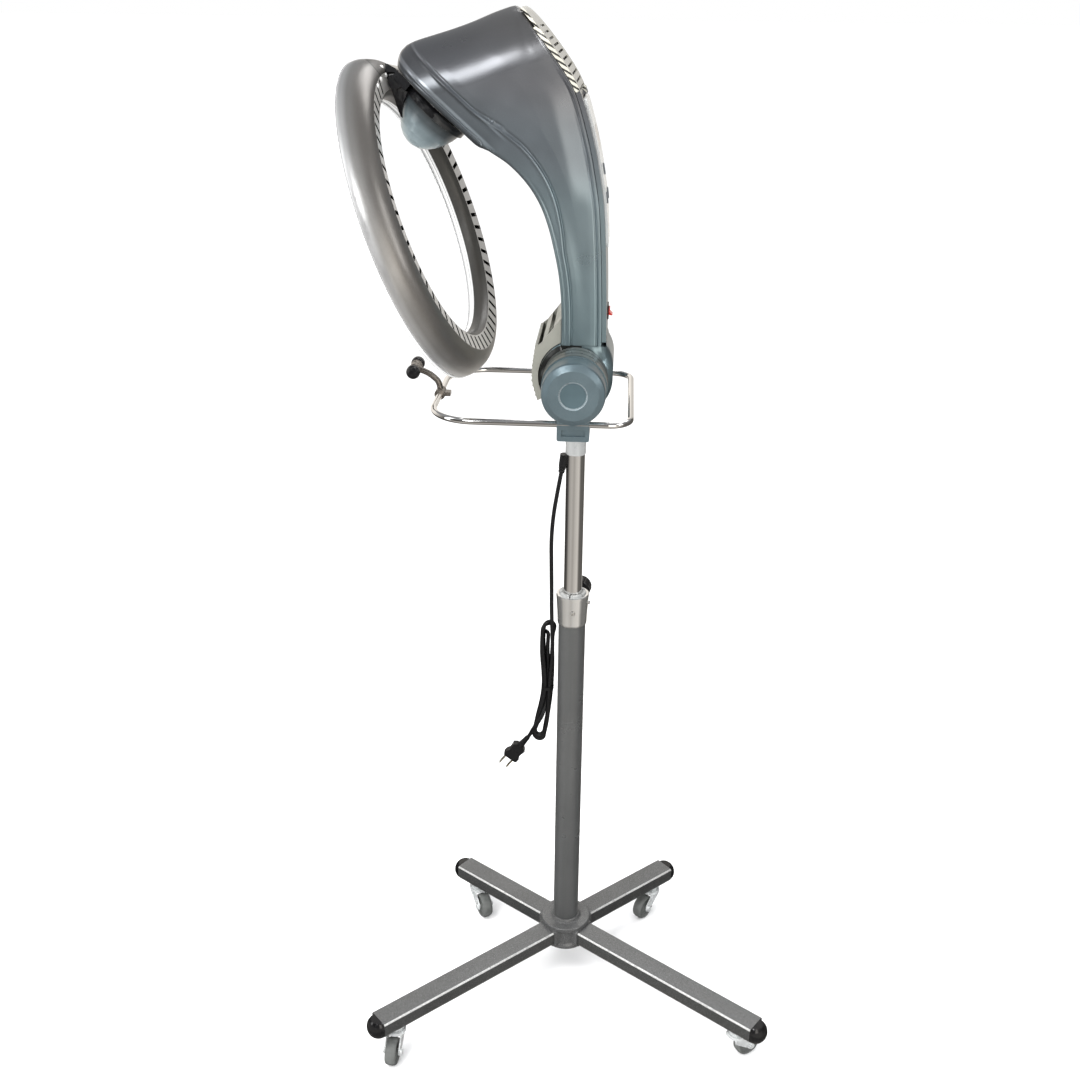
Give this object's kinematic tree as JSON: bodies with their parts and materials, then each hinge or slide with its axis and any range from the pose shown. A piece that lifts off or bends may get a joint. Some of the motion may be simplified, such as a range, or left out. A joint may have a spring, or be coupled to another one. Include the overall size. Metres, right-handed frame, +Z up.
{
  "type": "orbiting ring hot-air and infrared dryer on a castor stand",
  "caption": "Ring dryer whose heat ring orbits in front of a curved arm, on a tilting and swivelling yoke, a telescopic mast and a cross-shaped base on castors",
  "frame": {"origin": "where the post axis meets the floor", "axes": "+Z up, the head's plane of symmetry is X-Z, the heat ring reaches out toward -X"},
  "size_m": [0.5784, 0.4382, 1.4025],
  "materials": {
    "base_paint": "textured dark grey powder coat with a fine metallic fleck",
    "end_cap": "glossy black moulding",
    "castor_zinc": "bright zinc plate",
    "castor_grey": "grey wheel centre and grey tread",
    "chrome": "bright chrome plate",
    "screw_steel": "plain plated steel",
    "bush_plastic": "light grey nylon",
    "black_plastic": "black moulding",
    "stem_metal": "bronze grey plated bar",
    "arm_plastic": "satin blue-grey plastic",
    "rear_plastic": "satin warm light grey plastic",
    "guard_plastic": "sand grey plastic",
    "panel_face": "smooth light grey panel",
    "display_glass": "smoked window",
    "button_face": "soft grey button",
    "switch_red": "glossy red rocker",
    "bronze": "sintered bronze",
    "board": "green circuit board",
    "drive_metal": "pressed steel",
    "cup_plastic": "glossy pale blue-grey plastic",
    "ring_paint": "metallic silver-taupe paint",
    "reflector_white": "glossy white reflector",
    "lamp_glass": "quartz tube",
    "socket_ceramic": "white ceramic",
    "bracket_black": "glossy black moulding",
    "cord_black": "black cord sheath",
    "blade_metal": "nickel plated brass"
  },
  "bodies": {
    "base": {"base_hub": "base_paint", "leg_front_left": "base_paint", "leg_front_right": "base_paint", "leg_rear_left": "base_paint", "leg_rear_right": "base_paint", "leg_end_caps": "end_cap", "castor_studs": "castor_zinc", "lower_tube": "base_paint", "column_collar": "chrome", "collar_screws": "screw_steel", "split_bush": "bush_plastic"},
    "clamp_knob": {"clamp_knob": "black_plastic"},
    "mast": {"upper_tube": "chrome", "mast_bush": "bush_plastic", "cord_outlet_boot": "black_plastic", "cord_drop": "cord_black", "cord_hank": "cord_black", "cord_tail": "cord_black", "cord_tie": "cord_black", "plug": "cord_black", "plug_blades": "blade_metal"},
    "yoke": {"pivot_block": "arm_plastic", "hinge_shaft": "screw_steel", "hinge_hardware": "screw_steel", "hinge_caps": "arm_plastic", "hinge_spring": "screw_steel", "handle_loop": "chrome", "crossbar_stem": "stem_metal", "crossbar_ends": "black_plastic"},
    "arm": {"head_arm_shell": "arm_plastic", "rear_cover": "rear_plastic", "control_panel": "panel_face", "display_window": "display_glass", "switch_bezel": "black_plastic", "neck_front_cover": "guard_plastic", "hinge_bushes": "bronze", "control_board": "board", "rotor_mount_plate": "drive_metal", "orbit_motor": "drive_metal"},
    "rotor": {"rotor_shaft": "screw_steel", "rotor_cup": "cup_plastic", "ring_bracket": "bracket_black", "ring_fixings": "screw_steel", "ring_rear_shell": "ring_paint", "ring_front_reflector": "reflector_white", "heat_lamps": "lamp_glass", "lamp_sockets": "socket_ceramic", "lamp_clips": "chrome"},
    "power_switch": {"power_switch": "switch_red"},
    "panel_button_1": {"panel_button_1": "button_face"},
    "panel_button_2": {"panel_button_2": "button_face"},
    "panel_button_3": {"panel_button_3": "button_face"},
    "castor_fl_swivel": {"castor_fork_fl": "castor_zinc"},
    "castor_fl_roll": {"castor_wheel_fl": "castor_grey"},
    "castor_fr_swivel": {"castor_fork_fr": "castor_zinc"},
    "castor_fr_roll": {"castor_wheel_fr": "castor_grey"},
    "castor_rl_swivel": {"castor_fork_rl": "castor_zinc"},
    "castor_rl_roll": {"castor_wheel_rl": "castor_grey"},
    "castor_rr_swivel": {"castor_fork_rr": "castor_zinc"},
    "castor_rr_roll": {"castor_wheel_rr": "castor_grey"}
  },
  "joints": [
    {"name": "castor_fl_swivel", "type": "hinge", "parent": "base", "child": "castor_fl_swivel", "pos_m": [-0.23409, -0.21375, 0.045], "axis": [0, 0, 1], "continuous": true},
    {"name": "castor_fl_roll", "type": "hinge", "parent": "castor_fl_swivel", "child": "castor_fl_roll", "pos_m": [-0.23608, -0.23265, 0.0195], "axis": [0.9945, -0.1045, 0], "continuous": true},
    {"name": "castor_fr_swivel", "type": "hinge", "parent": "base", "child": "castor_fr_swivel", "pos_m": [0.25743, -0.18498, 0.045], "axis": [0, 0, 1], "continuous": true},
    {"name": "castor_fr_roll", "type": "hinge", "parent": "castor_fr_swivel", "child": "castor_fr_roll", "pos_m": [0.27299, -0.17408, 0.0195], "axis": [-0.5736, 0.8192, 0], "continuous": true},
    {"name": "castor_rl_swivel", "type": "hinge", "parent": "base", "child": "castor_rl_swivel", "pos_m": [-0.14942, 0.10737, 0.045], "axis": [0, 0, 1], "continuous": true},
    {"name": "castor_rl_roll", "type": "hinge", "parent": "castor_rl_swivel", "child": "castor_rl_roll", "pos_m": [-0.13935, 0.09126, 0.0195], "axis": [0.848, 0.5299, 0], "continuous": true},
    {"name": "castor_rr_swivel", "type": "hinge", "parent": "base", "child": "castor_rr_swivel", "pos_m": [0.13588, 0.12407, 0.045], "axis": [0, 0, 1], "continuous": true},
    {"name": "castor_rr_roll", "type": "hinge", "parent": "castor_rr_swivel", "child": "castor_rr_roll", "pos_m": [0.12471, 0.1087, 0.0195], "axis": [0.809, -0.5878, 0], "continuous": true},
    {"name": "clamp_knob_turn", "type": "hinge", "parent": "base", "child": "clamp_knob", "pos_m": [0, 0, 0.634], "axis": [0.1736, 0.9848, 0], "range_deg": [0, 360]},
    {"name": "mast_slide", "type": "slide", "parent": "base", "child": "mast", "axis": [0, 0, 1], "range_m": [-0.12, 0.12]},
    {"name": "yoke_swivel", "type": "hinge", "parent": "mast", "child": "yoke", "pos_m": [0, 0, 0.92], "axis": [0, 0, 1], "range_deg": [-170, 170]},
    {"name": "arm_tilt", "type": "hinge", "parent": "yoke", "child": "arm", "pos_m": [0, 0, 0.977], "axis": [0, 1, 0], "range_deg": [-15, 20]},
    {"name": "rotor_orbit", "type": "hinge", "parent": "arm", "child": "rotor", "pos_m": [-0.16852, 0, 1.29382], "axis": [-0.6613, 0, -0.7501], "continuous": true},
    {"name": "power_switch_rock", "type": "hinge", "parent": "arm", "child": "power_switch", "pos_m": [0.03616, 0, 1.0475], "axis": [0, 1, 0], "range_deg": [0, 20]},
    {"name": "panel_button_1_press", "type": "slide", "parent": "arm", "child": "panel_button_1", "axis": [-0.9839, 0, -0.1788], "range_m": [0, 0.0012], "stiffness_N_per_m": 700},
    {"name": "panel_button_2_press", "type": "slide", "parent": "arm", "child": "panel_button_2", "axis": [-0.9921, 0, -0.1255], "range_m": [0, 0.0012], "stiffness_N_per_m": 700},
    {"name": "panel_button_3_press", "type": "slide", "parent": "arm", "child": "panel_button_3", "axis": [-0.9921, 0, -0.1255], "range_m": [0, 0.0012], "stiffness_N_per_m": 700}
  ]
}
